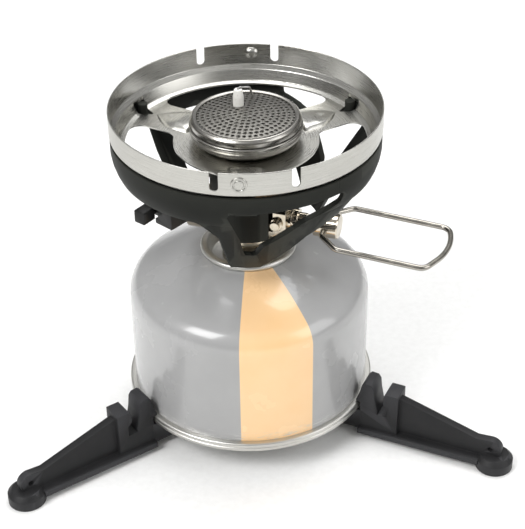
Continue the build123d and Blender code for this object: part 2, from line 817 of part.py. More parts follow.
with BuildPart() as igniter_housing:
    with BuildSketch(button_plane.offset(-barrel_front)):
        Circle(3.5)
    extrude(amount=-(barrel_back - barrel_front))
    with BuildSketch(Plane(origin=(0, 0, 91.8))) as block:
        with Locations(Location((*housing_xy, 0), (0, 0, housing_azimuth))):
            Rectangle(10.5, 7.6, align=(Align.MAX, Align.CENTER))
    extrude(amount=bracket_z - 91.8)
    with BuildSketch(button_plane.offset(-3)):
        RectangleRounded(button_size[0] + 0.8, button_size[1] + 0.8, 0.8)
    extrude(amount=-(barrel_front - 3.1), mode=Mode.SUBTRACT)
    with BuildSketch(button_plane.offset(-barrel_front + 1)):
        Circle(1.75)
    extrude(amount=-(module_front - barrel_front + 1), mode=Mode.SUBTRACT)
    with BuildSketch(button_plane.offset(-module_front)):
        Circle(2.5)
    extrude(amount=-(module_back - module_front), mode=Mode.SUBTRACT)
    with BuildSketch(button_plane.offset(-module_back)):
        Circle(lead_r + 0.1)
    extrude(amount=-3, mode=Mode.SUBTRACT)
    with BuildSketch(Plane(origin=ray(bracket_azimuth, bracket_screw_r, bracket_z - 6))):
        Circle(1.0)
    extrude(amount=7, mode=Mode.SUBTRACT)

with BuildPart() as piezo_module:
    with BuildSketch(button_plane.offset(-module_front)):
        Circle(2.45)
    extrude(amount=-(module_back - module_front))

with BuildPart() as igniter_screw:
    with BuildSketch(Plane(origin=ray(bracket_azimuth, bracket_screw_r, bracket_z - 5.8))):
        Circle(0.98)
    extrude(amount=5.8 + bracket_height)
    with BuildSketch(Plane(origin=ray(bracket_azimuth, bracket_screw_r, bracket_z + bracket_height))):
        Circle(1.9)
    extrude(amount=1.2)

lead_end = button_plane.origin - button_plane.z_dir * (module_back + 0.1)
lead_entry = button_plane.origin - button_plane.z_dir * (module_back + 3.8)

with BuildPart() as ignition_lead:
    with BuildLine() as lead_path:
        FilletPolyline(
            (*insulator_xy, 105.9),
            (*insulator_xy, lead_z),
            (-15.5, -0.5, lead_z - 1.2),
            tuple(lead_entry),
            tuple(lead_end),
            radius=[3.5, 5.0, 4.0],
        )
    with BuildSketch(Plane(origin=lead_path.line @ 0, z_dir=lead_path.line % 0)):
        Circle(lead_r)
    sweep()

# ------------------------------------------------------------------- export

nodes = {
    "canister_shell": canister_shell,
    "canister_bottom": canister_bottom,
    "valve_cup": valve_cup,
    "valve_cage": valve_cage,
    "stem_gasket": stem_gasket,
    "canister_stem": canister_stem,
    "hub_rivet": hub_rivet,
    "hub_washer": hub_washer,
    "cup_ring": cup_ring,
    "burner_cup": burner_cup,
    "burner_rim": burner_rim,
    "burner_screen": burner_screen,
    "burner_rivets": burner_rivets,
    "mixing_tube": mixing_tube,
    "ceramic_insulator": ceramic_insulator,
    "electrode_wire": electrode_wire,
    "base_shell": base_shell,
    "base_screws": base_screws,
    "valve_body": valve_body,
    "side_plug": side_plug,
    "inlet_gasket": inlet_gasket,
    "inlet_pin": inlet_pin,
    "jet_filter": jet_filter,
    "gas_jet": gas_jet,
    "packing_nut": packing_nut,
    "gland_ring": gland_ring,
    "needle_spindle": needle_spindle,
    "needle_tip": needle_tip,
    "valve_barrel": valve_barrel,
    "wire_bail": wire_bail,
    "regulator_diaphragm": regulator_diaphragm,
    "diaphragm_plate": diaphragm_plate,
    "regulator_poppet": regulator_poppet,
    "regulator_cap": regulator_cap,
    "igniter_button": igniter_button,
    "igniter_housing": igniter_housing,
    "piezo_module": piezo_module,
    "igniter_screw": igniter_screw,
    "ignition_lead": ignition_lead,
}

os.makedirs("parts", exist_ok=True)
for node_name, builder in nodes.items():
    builder.part.label = node_name
    export_step(builder.part, f"parts/{node_name}.step")
for ready_part in (*legs, stem_spring_part, regulator_spring_part):
    export_step(ready_part, f"parts/{ready_part.label}.step")
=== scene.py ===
import json
import math

import bmesh
import bpy
from mathutils import Matrix, Vector
from mathutils.geometry import delaunay_2d_cdt


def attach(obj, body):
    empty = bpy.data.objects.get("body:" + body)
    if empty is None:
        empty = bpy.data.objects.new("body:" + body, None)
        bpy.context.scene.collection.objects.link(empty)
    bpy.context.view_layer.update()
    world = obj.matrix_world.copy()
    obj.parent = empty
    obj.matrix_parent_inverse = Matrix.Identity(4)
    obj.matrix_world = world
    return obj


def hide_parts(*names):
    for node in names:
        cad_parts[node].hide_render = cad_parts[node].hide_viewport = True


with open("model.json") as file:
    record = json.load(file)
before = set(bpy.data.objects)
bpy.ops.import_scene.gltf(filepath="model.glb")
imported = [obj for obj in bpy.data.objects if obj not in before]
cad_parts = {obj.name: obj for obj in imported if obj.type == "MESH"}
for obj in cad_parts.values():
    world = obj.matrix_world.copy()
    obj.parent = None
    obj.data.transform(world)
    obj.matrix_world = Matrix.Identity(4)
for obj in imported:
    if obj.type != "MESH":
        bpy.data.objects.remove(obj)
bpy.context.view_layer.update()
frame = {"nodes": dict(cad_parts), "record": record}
nodes = frame["nodes"]
mm = 0.001
print("frame loaded")

# place in metres, tilt down and roll as angles, lens in millimetres
camera = {
    "place": Vector((0.00498, -0.4258, 0.3512)),
    "tilt": math.radians(34.27),
    "roll": math.radians(-0.785),
    "lens": 96.8,
    "nearest": 0.01,
}


def makeCamera(spec):
    data = bpy.data.cameras.new("studioCamera")
    data.lens = spec["lens"]
    data.clip_start = spec["nearest"]
    ahead = Vector((0, math.cos(spec["tilt"]), -math.sin(spec["tilt"])))
    level = Vector((1, 0, 0))
    upright = level.cross(ahead)
    turn = math.cos(spec["roll"]), math.sin(spec["roll"])
    right = turn[0] * level + turn[1] * upright
    up = -turn[1] * level + turn[0] * upright
    holder = bpy.data.objects.new("studioCamera", data)
    bpy.context.scene.collection.objects.link(holder)
    aim = Matrix((right, up, -ahead)).transposed().to_4x4()
    holder.matrix_world = Matrix.Translation(spec["place"]) @ aim
    bpy.context.scene.camera = holder
    # whites clip and blacks stay deep, as on a product page
    bpy.context.scene.view_settings.view_transform = "Standard"


makeCamera(camera)
print("camera placed")


# sRGB hex to linear RGBA
def hexColor(code):
    channels = [int(code[i:i + 2], 16) / 255 for i in (1, 3, 5)]
    return tuple(c / 12.92 if c <= 0.04045 else ((c + 0.055) / 1.055) ** 2.4 for c in channels) + (1.0,)


# adds a node with its settings; an input given as a node is linked to its first output, one given
# as a socket is linked to that socket, and anything else is set on the input itself
def addNode(tree, kind, inputs, **settings):
    node = tree.nodes.new(kind)
    for name, value in settings.items():
        setattr(node, name, value)
    for name, value in inputs.items():
        if isinstance(value, bpy.types.Node):
            value = value.outputs[0]
        if isinstance(value, bpy.types.NodeSocket):
            tree.links.new(value, node.inputs[name])
        else:
            node.inputs[name].default_value = value
    return node


def startMaterial(name):
    material = bpy.data.materials.new(name)
    material.use_nodes = True
    material.node_tree.nodes.clear()
    return material, material.node_tree


# ends a material with its shader and output
def closeMaterial(tree, inputs):
    shader = addNode(tree, "ShaderNodeBsdfPrincipled", inputs)
    addNode(tree, "ShaderNodeOutputMaterial", {"Surface": shader})


# object coordinates in millimetres
def objectPlace(tree):
    coords = addNode(tree, "ShaderNodeTexCoord", {})
    return addNode(tree, "ShaderNodeVectorMath",
                   {0: coords.outputs["Object"], 1: (1 / mm, 1 / mm, 1 / mm)}, operation="MULTIPLY")


# coordinates that run round the Z axis: along stretches the angle, across the radius and the height
def turnedPlace(tree, along=1, across=1):
    x, y, height = addNode(tree, "ShaderNodeSeparateXYZ", {0: objectPlace(tree)}).outputs
    angle = addNode(tree, "ShaderNodeMath", {0: y, 1: x}, operation="ARCTAN2")
    flat = addNode(tree, "ShaderNodeCombineXYZ", {0: x, 1: y})
    radius = addNode(tree, "ShaderNodeVectorMath", {0: flat}, operation="LENGTH").outputs["Value"]
    parts = {}
    for axis, (value, factor) in enumerate(((angle, along), (radius, across), (height, across))):
        parts[axis] = addNode(tree, "ShaderNodeMath", {0: value, 1: factor}, operation="MULTIPLY")
    return addNode(tree, "ShaderNodeCombineXYZ", parts), angle, height


# a noise seldom leaves this band, so it is what a range of tones or roughness is spread over
noiseBand = {"From Min": 0.35, "From Max": 0.65}


# a slow change between two tones, led by a noise
def twoTone(tree, value, first, second):
    factor = addNode(tree, "ShaderNodeMapRange", {"Value": value, **noiseBand})
    mixed = addNode(tree, "ShaderNodeMix", {0: factor, 6: hexColor(first), 7: hexColor(second)},
                    data_type="RGBA")
    return mixed.outputs[2]


# relief over edges that catch the light as if rounded, with the depth and the radius in millimetres
def reliefOnEdges(tree, height, depth, strength, radius):
    edges = addNode(tree, "ShaderNodeBevel", {"Radius": radius * mm}, samples=6)
    return addNode(tree, "ShaderNodeBump", {
        "Height": height, "Distance": depth * mm, "Strength": strength, "Normal": edges})


# spun and rolled sheet: rings 0.1 to 0.2 mm apart round the Z axis, smears of handling and a soft
# anisotropic sheen
def turnedMetal(name, spec):
    material, tree = startMaterial(name)
    rings, _, _ = turnedPlace(tree, spec["along"], spec["across"])
    streak = addNode(tree, "ShaderNodeTexNoise", {
        "Vector": rings, "Scale": 1.0, "Detail": 4.0, "Roughness": 0.65})
    # smears about 20 mm across
    smear = addNode(tree, "ShaderNodeTexNoise", {
        "Vector": objectPlace(tree), "Scale": 0.045, "Detail": 2.0, "Roughness": 0.55})
    tint = twoTone(tree, streak, spec["dark"], spec["light"])
    stained = addNode(tree, "ShaderNodeMapRange", {"Value": smear, "To Max": 0.25, **noiseBand})
    color = addNode(tree, "ShaderNodeMix", {0: stained, 6: tint, 7: hexColor(spec["stain"])},
                    data_type="RGBA")
    low, high = spec["rough"]
    wide = addNode(tree, "ShaderNodeMapRange", {
        "Value": smear, "To Min": low, "To Max": high, **noiseBand})
    # each ring is a little smoother or rougher than the next
    fine = addNode(tree, "ShaderNodeMapRange", {
        "Value": streak, "To Min": -0.03, "To Max": 0.03, **noiseBand})
    closeMaterial(tree, {
        "Base Color": color.outputs[2],
        "Metallic": 1.0,
        "Roughness": addNode(tree, "ShaderNodeMath", {0: wide, 1: fine}, operation="ADD"),
        "Anisotropic": spec["sheen"],
        "Tangent": addNode(tree, "ShaderNodeTangent", {}, direction_type="RADIAL", axis="Z"),
        "Normal": reliefOnEdges(tree, streak, spec["depth"], 0.5, spec["edge"]),
    })
    return material


# drawn, plated and sintered pieces: an even tone with small scratches and dulled patches
def plainMetal(name, spec):
    material, tree = startMaterial(name)
    place = objectPlace(tree)
    patch = addNode(tree, "ShaderNodeTexNoise", {
        "Vector": place, "Scale": spec["patch"], "Detail": 4.0, "Roughness": 0.55})
    scratch = addNode(tree, "ShaderNodeTexNoise", {
        "Vector": place, "Scale": spec["patch"] * 9, "Detail": 2.0, "Roughness": 0.7})
    low, high = spec["rough"]
    closeMaterial(tree, {
        "Base Color": twoTone(tree, patch, spec["dark"], spec["light"]),
        "Metallic": 1.0,
        "Roughness": addNode(tree, "ShaderNodeMapRange", {
            "Value": patch, "To Min": low, "To Max": high, **noiseBand}),
        "Normal": reliefOnEdges(tree, scratch, spec["depth"], 0.35, spec["edge"]),
    })
    return material


# moulded plastic and rubber: a fine spark-eroded grain, slow changes of sheen, paler rubbed edges;
# the real grain is about 0.1 mm, and is drawn two to four times as coarse so that it shows
def mouldedPlastic(name, spec):
    material, tree = startMaterial(name)
    place = objectPlace(tree)
    grain = addNode(tree, "ShaderNodeTexNoise", {
        "Vector": place, "Scale": spec["grain"], "Detail": 2.0, "Roughness": 0.5})
    # sheen changes over about 15 mm
    flow = addNode(tree, "ShaderNodeTexNoise", {
        "Vector": place, "Scale": 0.07, "Detail": 3.0, "Roughness": 0.55})
    pointy = addNode(tree, "ShaderNodeNewGeometry", {}).outputs["Pointiness"]
    rubbed = addNode(tree, "ShaderNodeMapRange", {"Value": pointy, "From Min": 0.515, "From Max": 0.56})
    color = addNode(tree, "ShaderNodeMix", {
        0: rubbed, 6: twoTone(tree, flow, spec["dark"], spec["light"]), 7: hexColor(spec["worn"])},
        data_type="RGBA")
    normal = reliefOnEdges(tree, grain, spec["depth"], spec.get("strength", 0.6), spec["edge"])
    if "seam" in spec:
        # the parting line, a groove 0.12 mm deep that runs down the moulding
        _, angle, _ = turnedPlace(tree)
        off = addNode(tree, "ShaderNodeMath", {0: angle, 1: math.radians(spec["seam"])}, operation="SUBTRACT")
        gap = addNode(tree, "ShaderNodeMath", {0: off}, operation="ABSOLUTE")
        line = addNode(tree, "ShaderNodeMapRange", {"Value": gap, "From Min": 0.0015, "From Max": 0.0045})
        normal = addNode(tree, "ShaderNodeBump", {
            "Height": line, "Distance": 0.12 * mm, "Strength": 1.0, "Normal": normal})
    low, high = spec["rough"]
    closeMaterial(tree, {
        "Base Color": color.outputs[2],
        "Roughness": addNode(tree, "ShaderNodeMapRange", {
            "Value": flow, "To Min": low, "To Max": high, **noiseBand}),
        "Specular IOR Level": spec.get("gloss", 0.5),
        "IOR": 1.4,
        "Normal": normal,
    })
    return material


# printed enamel under lacquer: grey with one plain orange panel, faint orange peel, lighter scuffs low down
def canEnamel(name, spec):
    material, tree = startMaterial(name)
    _, angle, height = turnedPlace(tree)
    place = objectPlace(tree)
    left, right = (math.radians(side) for side in spec["panel"])
    soft = spec["printEdge"]
    past = addNode(tree, "ShaderNodeMapRange", {
        "Value": angle, "From Min": left - soft, "From Max": left + soft})
    short = addNode(tree, "ShaderNodeMapRange", {
        "Value": angle, "From Min": right - soft, "From Max": right + soft, "To Min": 1, "To Max": 0})
    panel = addNode(tree, "ShaderNodeMath", {0: past, 1: short}, operation="MULTIPLY")
    mottle = addNode(tree, "ShaderNodeTexNoise", {
        "Vector": place, "Scale": 0.05, "Detail": 4.0, "Roughness": 0.55})
    painted = addNode(tree, "ShaderNodeMix", {
        0: panel, 6: twoTone(tree, mottle, *spec["grey"]), 7: twoTone(tree, mottle, *spec["orange"])},
        data_type="RGBA")
    # scuffs are long round the can, and fade out between the two heights
    scuff = addNode(tree, "ShaderNodeTexNoise", {
        "Vector": turnedPlace(tree, 9, 1.6)[0], "Scale": 1.0, "Detail": 5.0, "Roughness": 0.7})
    scuffed = addNode(tree, "ShaderNodeMapRange", {"Value": scuff, "From Min": 0.52, "From Max": 0.62})
    full, gone = spec["scuffedFrom"]
    lowDown = addNode(tree, "ShaderNodeMapRange", {
        "Value": height, "From Min": full, "From Max": gone, "To Min": 1, "To Max": 0})
    mark = addNode(tree, "ShaderNodeMath", {0: scuffed, 1: lowDown}, operation="MULTIPLY")
    color = addNode(tree, "ShaderNodeMix", {
        0: mark, 6: painted.outputs[2], 7: hexColor(spec["scuff"])}, data_type="RGBA")
    # orange peel of the lacquer, about 1 mm across
    peel = addNode(tree, "ShaderNodeTexNoise", {
        "Vector": place, "Scale": 1.1, "Detail": 2.0, "Roughness": 0.55})
    low, high = spec["rough"]
    closeMaterial(tree, {
        "Base Color": color.outputs[2],
        "Roughness": addNode(tree, "ShaderNodeMapRange", {
            "Value": mottle, "To Min": low, "To Max": high, **noiseBand}),
        "Coat Weight": 0.55,
        "Coat Roughness": 0.07,
        "Normal": addNode(tree, "ShaderNodeBump", {
            "Height": peel, "Distance": spec["peel"] * mm, "Strength": 0.4}),
    })
    return material


# fired clay without a glaze: a little light let into the body, freckles of soot, and pits that are
# drawn 0.2 mm across, coarser than the real ones, so that they show
def firedClay(name, spec):
    material, tree = startMaterial(name)
    place = objectPlace(tree)
    pits = addNode(tree, "ShaderNodeTexNoise", {
        "Vector": place, "Scale": 5.0, "Detail": 4.0, "Roughness": 0.7})
    freckle = addNode(tree, "ShaderNodeTexNoise", {
        "Vector": place, "Scale": 1.3, "Detail": 4.0, "Roughness": 0.55})
    soot = addNode(tree, "ShaderNodeMapRange", {
        "Value": freckle, "From Min": 0.58, "From Max": 0.75, "To Max": 0.5})
    color = addNode(tree, "ShaderNodeMix", {
        0: soot, 6: hexColor(spec["light"]), 7: hexColor(spec["dark"])}, data_type="RGBA")
    low, high = spec["rough"]
    closeMaterial(tree, {
        "Base Color": color.outputs[2],
        "Roughness": addNode(tree, "ShaderNodeMapRange", {
            "Value": pits, "To Min": low, "To Max": high, **noiseBand}),
        "Subsurface Weight": 0.15,
        "Subsurface Radius": (0.002, 0.002, 0.0018),
        "Normal": addNode(tree, "ShaderNodeBump", {
            "Height": pits, "Distance": spec["depth"] * mm, "Strength": 0.5}),
    })
    return material


# depth, edge and peel are in millimetres, patch and grain say how many waves of a noise go to one
# millimetre, and angles round the Z axis are in degrees but for printEdge, which is in radians
finishes = {
    # roller-coated can: flat grey and orange under a clear lacquer, so a soft broad highlight
    "can_enamel": canEnamel("lacqueredEnamel", {
        "grey": ("#a5a5a5", "#aaaaaa"), "orange": ("#fbd09a", "#fdd5a3"), "scuff": "#cfcecb",
        "panel": (-94.5, -59.5), "printEdge": 0.003, "scuffedFrom": (15, 19), "peel": 0.006,
        "rough": (0.24, 0.28)}),
    # bare tinplate rolled into a seam: bright, slightly grey, with rings from the rollers
    "can_seam": turnedMetal("tinnedSteel", {
        "dark": "#c4c3be", "light": "#d8d7d3", "stain": "#bab8b1", "along": 6.0, "across": 8.0,
        "rough": (0.3, 0.42), "sheen": 0.3, "depth": 0.006, "edge": 0.15}),
    # pressed and satin-brushed stainless: pale, with a broad soft sheen
    "satin_stainless": turnedMetal("satinStainless", {
        "dark": "#afaea9", "light": "#c4c3be", "stain": "#a9a7a0", "along": 5.0, "across": 9.0,
        "rough": (0.25, 0.31), "sheen": 0.6, "depth": 0.004, "edge": 0.15}),
    # spun stainless left bright: turning rings and a sharper light than the satin sheet
    "burner_stainless": turnedMetal("spunStainless", {
        "dark": "#8f8d88", "light": "#bdbbb6", "stain": "#7d7870", "along": 3.0, "across": 12.0,
        "rough": (0.16, 0.28), "sheen": 0.45, "depth": 0.01, "edge": 0.12}),
    # thin perforated stainless: duller and darker, as it is punched and heat-stained
    "screen_stainless": turnedMetal("sieveStainless", {
        "dark": "#777570", "light": "#a8a6a1", "stain": "#66625c", "along": 9.0, "across": 5.0,
        "rough": (0.28, 0.42), "sheen": 0.2, "depth": 0.006, "edge": 0.08}),
    # glass-filled nylon, spark-eroded tool: nearly black, matt, with a faint parting line
    "base_nylon": mouldedPlastic("baseNylon", {
        "dark": "#1e1f1d", "light": "#252623", "worn": "#353632", "grain": 3.2, "depth": 0.012,
        "strength": 0.4, "rough": (0.46, 0.56), "edge": 0.25, "gloss": 0.12, "seam": -50.0}),
    # the same nylon from another tool: a coarser grain and a little more gloss
    "leg_nylon": mouldedPlastic("legNylon", {
        "dark": "#232324", "light": "#2a2a2b", "worn": "#38383a", "grain": 2.4, "depth": 0.02,
        "rough": (0.42, 0.55), "edge": 0.3, "gloss": 0.3}),
    # ABS housing and button: the smoothest and blackest of the mouldings
    "igniter_plastic": mouldedPlastic("igniterPlastic", {
        "dark": "#121212", "light": "#181818", "worn": "#262626", "grain": 4.0, "depth": 0.012,
        "rough": (0.32, 0.42), "edge": 0.2, "gloss": 0.3}),
    # moulded nitrile rubber: black and quite dull
    "black_rubber": mouldedPlastic("nitrileRubber", {
        "dark": "#151515", "light": "#1c1c1c", "worn": "#2a2a2a", "grain": 5.0, "depth": 0.02,
        "rough": (0.65, 0.8), "edge": 0.1, "gloss": 0.3}),
    # unfilled nylon: a warm milky white
    "clear_nylon": mouldedPlastic("naturalNylon", {
        "dark": "#d8d3c2", "light": "#e4e0d2", "worn": "#eeeade", "grain": 3.0, "depth": 0.01,
        "rough": (0.4, 0.5), "edge": 0.1}),
    # extruded silicone: pale grey with a dull skin
    "lead_sleeve": mouldedPlastic("siliconeSleeve", {
        "dark": "#b9b4ab", "light": "#c9c5bd", "worn": "#d8d5ce", "grain": 3.0, "depth": 0.015,
        "rough": (0.5, 0.62), "edge": 0.1}),
    # fired alumina: chalky white, with a soft glow in its edges
    "white_ceramic": firedClay("alumina", {
        "light": "#f4f2ec", "dark": "#b9b2a6", "rough": (0.35, 0.5), "depth": 0.02}),
    # bright nickel over brass: a warm mirror
    "nickel_plate": plainMetal("polishedNickel", {
        "dark": "#bfb5a3", "light": "#d9d0c1", "rough": (0.05, 0.12), "patch": 0.25,
        "depth": 0.004, "edge": 0.2}),
    # drawn stainless wire: smooth, with one long highlight down each run
    "bail_steel": plainMetal("drawnWire", {
        "dark": "#98948d", "light": "#aba79f", "rough": (0.17, 0.24), "patch": 0.3,
        "depth": 0.004, "edge": 0.05}),
    # hard-drawn spring wire: grey and a little duller
    "spring_steel": plainMetal("springWire", {
        "dark": "#8b8a88", "light": "#b1b0ad", "rough": (0.25, 0.38), "patch": 0.8,
        "depth": 0.006, "edge": 0.05}),
    # zinc-plated rivets: a cool grey with cloudy patches
    "rivet_steel": plainMetal("zincSteel", {
        "dark": "#9c9c9a", "light": "#bdbdba", "rough": (0.3, 0.45), "patch": 0.6,
        "depth": 0.01, "edge": 0.15}),
    # turned brass: yellow and fairly bright
    "turned_brass": plainMetal("turnedBrass", {
        "dark": "#b08a3e", "light": "#d1ab5b", "rough": (0.15, 0.28), "patch": 0.6,
        "depth": 0.008, "edge": 0.12}),
    # sintered bronze: brown and grainy
    "sintered_bronze": plainMetal("sinteredBronze", {
        "dark": "#7c5a33", "light": "#a27a4a", "rough": (0.5, 0.7), "patch": 3.0,
        "depth": 0.05, "edge": 0.1}),
}
print("materials made")

slotOf = {part["node"]: part["material_slot"] for part in frame["record"]["subparts"]}


def dressNodes():
    for name, holder in nodes.items():
        holder.data.materials.clear()
        holder.data.materials.append(finishes[slotOf[name]])


# gives a piece its finish, its body and the CAD nodes that it stands for
def settle(piece, body, slot, replaced=()):
    if piece.name not in bpy.context.scene.collection.all_objects:
        bpy.context.scene.collection.objects.link(piece)
    piece.data.materials.clear()
    piece.data.materials.append(finishes[slot])
    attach(piece, body)
    if replaced:
        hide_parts(*replaced)


def shadeSmooth(mesh, sharpest=38):
    mesh.shade_smooth()
    mesh.set_sharp_from_angle(angle=math.radians(sharpest))


# points of an outline of (across, up, rounding) corners, each one rounded by an arc
def roundedPath(outline, closed=True, steps=6):
    corners = [Vector((across, up)) for across, up, _ in outline]
    count = len(corners)
    points = []
    for i, here in enumerate(corners):
        radius = outline[i][2]
        if radius <= 0 or (not closed and i in (0, count - 1)):
            points.append(here)
            continue
        before = corners[i - 1] - here
        after = corners[(i + 1) % count] - here
        half = before.angle(after) / 2
        reach = min(radius / math.tan(half), 0.49 * before.length, 0.49 * after.length)
        actual = reach * math.tan(half)
        bisector = (before.normalized() + after.normalized()).normalized()
        centre = here + bisector * (actual / math.sin(half))
        first = here + before.normalized() * reach - centre
        last = here + after.normalized() * reach - centre
        sweep = first.angle_signed(last)
        for step in range(steps + 1):
            spoke = first.copy()
            spoke.rotate(Matrix.Rotation(-sweep * step / steps, 2))
            points.append(centre + spoke)
    return points


def ringPoints(x, y, radius, count):
    turns = [2 * math.pi * k / count for k in range(count)]
    return [(x + radius * math.cos(turn), y + radius * math.sin(turn)) for turn in turns]


# closed outline of (radius, height) in millimetres, spun round the Z axis
def lathe(name, outline, segments=160):
    work = bmesh.new()
    rows = []
    for radius, height in outline:
        if radius < 1e-4:
            pole = work.verts.new((0, 0, height * mm))
            rows.append([pole] * segments)
        else:
            around = ringPoints(0, 0, radius * mm, segments)
            rows.append([work.verts.new((x, y, height * mm)) for x, y in around])
    for i, row in enumerate(rows):
        nextRow = rows[(i + 1) % len(rows)]
        for k in range(segments):
            j = (k + 1) % segments
            corners = []
            for vert in (row[k], row[j], nextRow[j], nextRow[k]):
                if vert not in corners:
                    corners.append(vert)
            if len(corners) > 2:
                work.faces.new(corners)
    bmesh.ops.recalc_face_normals(work, faces=work.faces)
    mesh = bpy.data.meshes.new(name)
    work.to_mesh(mesh)
    work.free()
    shadeSmooth(mesh)
    return bpy.data.objects.new(name, mesh)


# closed outline of a sheet that follows a centre line; bulge rounds its two ends
def wall(centreLine, thickness, bulge=0.8):
    half = thickness / 2
    last = len(centreLine) - 1
    runs = []
    for i in range(last + 1):
        run = Vector(centreLine[min(i + 1, last)]) - Vector(centreLine[max(i - 1, 0)])
        runs.append(run.normalized())
    outer = [Vector(p) + Vector((-run.y, run.x)) * half for p, run in zip(centreLine, runs)]
    inner = [Vector(p) - Vector((-run.y, run.x)) * half for p, run in zip(centreLine, runs)]
    end = Vector(centreLine[-1]) + runs[-1] * half * bulge
    start = Vector(centreLine[0]) - runs[0] * half * bulge
    return outer + [end] + inner[::-1] + [start]


# copy of a CAD node's mesh with its sharp edges rounded to a width in millimetres
def bevelledCopy(node, width, angle=30, segments=2):
    mesh = nodes[node].data.copy()
    piece = bpy.data.objects.new(node + "Shape", mesh)
    bpy.context.scene.collection.objects.link(piece)
    work = bmesh.new()
    work.from_mesh(mesh)
    bmesh.ops.remove_doubles(work, verts=work.verts, dist=1e-6)
    bmesh.ops.dissolve_limit(work, angle_limit=math.radians(1.0), verts=work.verts, edges=work.edges)
    work.to_mesh(mesh)
    work.free()
    rounder = piece.modifiers.new("rounder", "BEVEL")
    rounder.width = width * mm
    rounder.segments = segments
    rounder.limit_method = "ANGLE"
    rounder.angle_limit = math.radians(angle)
    rounder.miter_outer = "MITER_ARC"
    rounder.use_clamp_overlap = True
    graph = bpy.context.evaluated_depsgraph_get()
    result = bpy.data.meshes.new_from_object(piece.evaluated_get(graph))
    piece.modifiers.clear()
    piece.data = result
    shadeSmooth(result, 40)
    return piece


dressNodes()
print("nodes dressed")

# radii and heights in millimetres; an outline's third number is the rounding of its corner
can = {
    "body": "canister", "sheet": 0.5,
    "wall": 43.4, "shoulder": 9.0, "shoulderZ": 52.1, "shoulderSweep": 60, "neck": 16.4, "neckZ": 69.3,
    "seam": 45.5, "seamLow": 11.5, "seamHigh": 14.9, "seamRoll": 0.7, "seamFoot": 43.0,
    "seamFlat": 43.5, "seamTop": 42.9,
    "creaseHalf": 0.2, "creaseDepth": 0.25, "creaseRoll": 0.1,
    "panel": [(0, 20.5, 0), (30, 18.5, 6), (39.6, 14.0, 3), (43.0, 13.4, 0)],
}


# outer side of the can: wall, rolled shoulder, then one shallow arc up to the neck
def domeLine(spec, steps=20, wallSteps=6):
    rise = spec["shoulderZ"] - spec["seamHigh"]
    line = [Vector((spec["wall"], spec["seamHigh"] + rise * k / wallSteps)) for k in range(wallSteps)]
    slope = math.radians(spec["shoulderSweep"])
    rollCentre = spec["wall"] - spec["shoulder"]
    for k in range(steps + 1):
        turn = slope * k / steps
        out, up = spec["shoulder"] * math.cos(turn), spec["shoulder"] * math.sin(turn)
        line.append(Vector((rollCentre + out, spec["shoulderZ"] + up)))
    start = line[-1]
    chord = Vector((spec["neck"], spec["neckZ"])) - start
    startTurn = math.atan2(math.cos(slope), -math.sin(slope))
    bend = math.atan2(chord.y, chord.x) - startTurn
    radius = chord.length / (2 * math.sin(bend))
    centre = start + radius * Vector((-math.sin(startTurn), math.cos(startTurn)))
    for k in range(1, steps + 1):
        turn = startTurn + 2 * bend * k / steps
        line.append(centre + radius * Vector((math.sin(turn), -math.cos(turn))))
    return line


# double seam with the crease that its rollers leave half way up
def seamOutline(spec):
    low, high, outer = spec["seamLow"], spec["seamHigh"], spec["seam"]
    middle = (low + high) / 2
    half, roll, creaseRoll = spec["creaseHalf"], spec["seamRoll"], spec["creaseRoll"]
    return [
        (spec["seamFoot"], low, roll), (outer, low, roll),
        (outer, middle - half, creaseRoll), (outer - spec["creaseDepth"], middle, creaseRoll),
        (outer, middle + half, creaseRoll), (outer, high, roll),
        (spec["seamFlat"], high, 0), (spec["seamTop"], high, 0)]


def makeCanister(spec):
    centred = [p - Vector((spec["sheet"] / 2, 0)) for p in domeLine(spec)]
    shell = lathe("canisterShell", wall(centred, spec["sheet"]), 192)
    settle(shell, spec["body"], "can_enamel", ("canister_shell",))
    bead = lathe("canisterSeam", roundedPath(seamOutline(spec), steps=5), 192)
    settle(bead, spec["body"], "can_seam", ("canister_bottom",))
    # the sunk bottom, which shows from below only
    panel = wall(roundedPath(spec["panel"], closed=False), spec["sheet"])
    settle(lathe("canisterBottomPanel", panel, 128), spec["body"], "can_seam")


makeCanister(can)
print("canister made")

# sizes in millimetres; an outline's corners are (radius, height, rounding)
head = {
    "body": "burner",
    "rim": 17.2, "edgeZ": 121.9, "domeRise": 1.3, "sieveSheet": 0.45,
    "pitch": 1.84, "rings": 9, "ringTurn": 0.37, "hole": 0.62, "burr": 0.09, "burrOut": 0.07,
    "burrSpread": (0.94, 1.08), "burrSeed": 7,
    "insulator": (-2.5, 6.4), "insulatorHole": 2.25, "insulatorMargin": 0.7,
    "cupSheet": 0.55,
    "cup": [
        (4.3, 106.5, 0), (4.3, 113.35, 0.8), (15.4, 113.35, 2.6), (18.2, 115.7, 1.6), (19.05, 117.4, 0.6),
        # the seam line turned into the cup
        (19.15, 118.2, 0.05), (18.95, 118.35, 0.05), (19.15, 118.5, 0.05), (19.15, 119.1, 0.2),
        (18.9, 119.3, 0)],
    "clampSheet": 0.5,
    "clamp": [(18.35, 119.55, 0), (18.75, 120.0, 0.4), (18.75, 121.5, 0.9), (17.9, 122.45, 0.5),
              (16.9, 122.2, 0)],
    "sleeve": [(0.45, 106.0, 0), (1.85, 106.0, 0.2), (1.85, 126.2, 2.0), (1.35, 128.9, 0.7),
               (0.45, 128.9, 0.15)],
}


